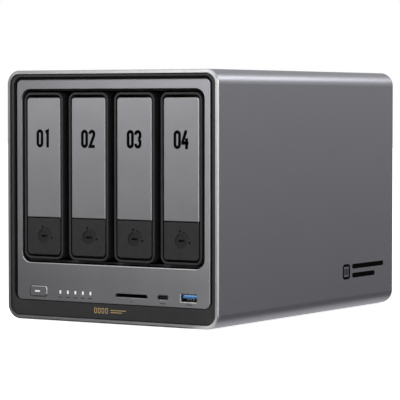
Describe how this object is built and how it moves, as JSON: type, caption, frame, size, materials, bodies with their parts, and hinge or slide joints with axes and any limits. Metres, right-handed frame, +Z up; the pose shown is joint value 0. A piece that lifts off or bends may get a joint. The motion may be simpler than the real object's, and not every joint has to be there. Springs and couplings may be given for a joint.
{
  "type": "desktop storage enclosure",
  "caption": "Upright box enclosure with sliding drive trays behind hinged handles, a front port row, a rear fan and a lift-off filter.",
  "frame": {"origin": "middle of the footprint, at the bottom of the feet", "axes": "-Y is the front with the trays, +X is to the right seen from the front, +Z is up"},
  "size_m": [0.178, 0.257, 0.178],
  "materials": {
    "anodised_shell": "fine bead-blasted grey anodising",
    "front_metal": "fine metallic grey paint",
    "handle_metal": "light metallic grey paint",
    "bezel_plastic": "fine-grained dark moulding",
    "tray_plastic": "satin dark moulding",
    "latch_plastic": "fine-grained dark moulding",
    "lock_plastic": "matt black moulding",
    "light_pipe": "frosted clear moulding, lit white",
    "black_plastic": "matt black moulding",
    "connector_steel": "nickel-plated sheet",
    "circuit_board": "solder-masked board",
    "plated_sheet": "dark-coated steel sheet",
    "dark_sheet": "dark powder coat",
    "steel_screw": "zinc-plated screw",
    "foot_rubber": "matt rubber",
    "cooler_aluminium": "plain extrusion",
    "standoff_brass": "turned brass",
    "rear_dark": "dark powder coat",
    "filter_dark": "dark perforated sheet",
    "magnet_plating": "nickel-plated disc"
  },
  "bodies": {
    "enclosure": {"outer_shell": "anodised_shell", "bottom_hatch": "dark_sheet", "hatch_screws": "steel_screw", "rubber_feet": "foot_rubber", "front_bezel_frame": "bezel_plastic", "front_plate": "front_metal", "power_switch": "black_plastic", "led_light_pipes": "light_pipe", "front_io_board": "circuit_board", "sd_card_slot": "black_plastic", "usb_c_port": "connector_steel", "usb_a_port": "connector_steel", "drive_cage": "plated_sheet", "bay_dividers": "plated_sheet", "tray_guides": "black_plastic", "backplane_board": "circuit_board", "backplane_slot": "black_plastic", "sata_connectors": "black_plastic", "main_board": "circuit_board", "cpu_heatsink": "cooler_aluminium", "memory_sockets": "black_plastic", "memory_modules": "circuit_board", "board_standoffs": "standoff_brass", "power_supply": "plated_sheet", "rear_panel": "rear_dark", "rear_panel_screws": "steel_screw", "fan_screws": "steel_screw", "filter_magnets": "magnet_plating", "fan_frame": "black_plastic", "ethernet_jacks": "connector_steel", "rear_usb_ports": "connector_steel", "hdmi_port": "connector_steel", "ac_inlet": "black_plastic", "reset_switch": "black_plastic"},
    "tray_1": {"tray_carrier_1": "tray_plastic", "tray_bezel_1": "tray_plastic"},
    "handle_1": {"tray_handle_1": "handle_metal"},
    "latch_1": {"tray_latch_1": "latch_plastic"},
    "lock_1": {"tray_lock_1": "lock_plastic"},
    "tray_2": {"tray_carrier_2": "tray_plastic", "tray_bezel_2": "tray_plastic"},
    "handle_2": {"tray_handle_2": "handle_metal"},
    "latch_2": {"tray_latch_2": "latch_plastic"},
    "lock_2": {"tray_lock_2": "lock_plastic"},
    "tray_3": {"tray_carrier_3": "tray_plastic", "tray_bezel_3": "tray_plastic"},
    "handle_3": {"tray_handle_3": "handle_metal"},
    "latch_3": {"tray_latch_3": "latch_plastic"},
    "lock_3": {"tray_lock_3": "lock_plastic"},
    "tray_4": {"tray_carrier_4": "tray_plastic", "tray_bezel_4": "tray_plastic"},
    "handle_4": {"tray_handle_4": "handle_metal"},
    "latch_4": {"tray_latch_4": "latch_plastic"},
    "lock_4": {"tray_lock_4": "lock_plastic"},
    "power_button": {"power_button": "front_metal", "power_button_light": "light_pipe"},
    "reset_button": {"reset_button": "black_plastic"},
    "fan": {"fan_rotor": "black_plastic"},
    "filter": {"rear_filter_cover": "rear_dark", "rear_filter_mesh": "filter_dark"}
  },
  "joints": [
    {"name": "tray_slide_1", "type": "slide", "parent": "enclosure", "child": "tray_1", "axis": [0, -1, 0], "range_m": [0, 0.14]},
    {"name": "handle_hinge_1", "type": "hinge", "parent": "tray_1", "child": "handle_1", "pos_m": [-0.05808, -0.1224, 0.154], "axis": [-1, 0, 0], "range_deg": [0, 50]},
    {"name": "latch_press_1", "type": "hinge", "parent": "tray_1", "child": "latch_1", "pos_m": [-0.05808, -0.1224, 0.069], "axis": [1, 0, 0], "range_deg": [0, 6], "stiffness_Nm_per_rad": 0.6},
    {"name": "lock_turn_1", "type": "hinge", "parent": "latch_1", "child": "lock_1", "pos_m": [-0.05808, -0.1224, 0.0603], "axis": [0, -1, 0], "range_deg": [0, 90]},
    {"name": "tray_slide_2", "type": "slide", "parent": "enclosure", "child": "tray_2", "axis": [0, -1, 0], "range_m": [0, 0.14]},
    {"name": "handle_hinge_2", "type": "hinge", "parent": "tray_2", "child": "handle_2", "pos_m": [-0.01936, -0.1224, 0.154], "axis": [-1, 0, 0], "range_deg": [0, 50]},
    {"name": "latch_press_2", "type": "hinge", "parent": "tray_2", "child": "latch_2", "pos_m": [-0.01936, -0.1224, 0.069], "axis": [1, 0, 0], "range_deg": [0, 6], "stiffness_Nm_per_rad": 0.6},
    {"name": "lock_turn_2", "type": "hinge", "parent": "latch_2", "child": "lock_2", "pos_m": [-0.01936, -0.1224, 0.0603], "axis": [0, -1, 0], "range_deg": [0, 90]},
    {"name": "tray_slide_3", "type": "slide", "parent": "enclosure", "child": "tray_3", "axis": [0, -1, 0], "range_m": [0, 0.14]},
    {"name": "handle_hinge_3", "type": "hinge", "parent": "tray_3", "child": "handle_3", "pos_m": [0.01936, -0.1224, 0.154], "axis": [-1, 0, 0], "range_deg": [0, 50]},
    {"name": "latch_press_3", "type": "hinge", "parent": "tray_3", "child": "latch_3", "pos_m": [0.01936, -0.1224, 0.069], "axis": [1, 0, 0], "range_deg": [0, 6], "stiffness_Nm_per_rad": 0.6},
    {"name": "lock_turn_3", "type": "hinge", "parent": "latch_3", "child": "lock_3", "pos_m": [0.01936, -0.1224, 0.0603], "axis": [0, -1, 0], "range_deg": [0, 90]},
    {"name": "tray_slide_4", "type": "slide", "parent": "enclosure", "child": "tray_4", "axis": [0, -1, 0], "range_m": [0, 0.14]},
    {"name": "handle_hinge_4", "type": "hinge", "parent": "tray_4", "child": "handle_4", "pos_m": [0.05808, -0.1224, 0.154], "axis": [-1, 0, 0], "range_deg": [0, 50]},
    {"name": "latch_press_4", "type": "hinge", "parent": "tray_4", "child": "latch_4", "pos_m": [0.05808, -0.1224, 0.069], "axis": [1, 0, 0], "range_deg": [0, 6], "stiffness_Nm_per_rad": 0.6},
    {"name": "lock_turn_4", "type": "hinge", "parent": "latch_4", "child": "lock_4", "pos_m": [0.05808, -0.1224, 0.0603], "axis": [0, -1, 0], "range_deg": [0, 90]},
    {"name": "power_press", "type": "slide", "parent": "enclosure", "child": "power_button", "axis": [0, 1, 0], "range_m": [0, 0.0008], "stiffness_N_per_m": 1500},
    {"name": "reset_press", "type": "slide", "parent": "enclosure", "child": "reset_button", "axis": [0, -1, 0], "range_m": [0, 0.0004], "stiffness_N_per_m": 2000},
    {"name": "fan_spin", "type": "hinge", "parent": "enclosure", "child": "fan", "pos_m": [0, 0.11, 0.103], "axis": [0, 1, 0], "continuous": true},
    {"name": "filter_lift_off", "type": "slide", "parent": "enclosure", "child": "filter", "axis": [0, 1, 0], "range_m": [0, 0.04]}
  ]
}
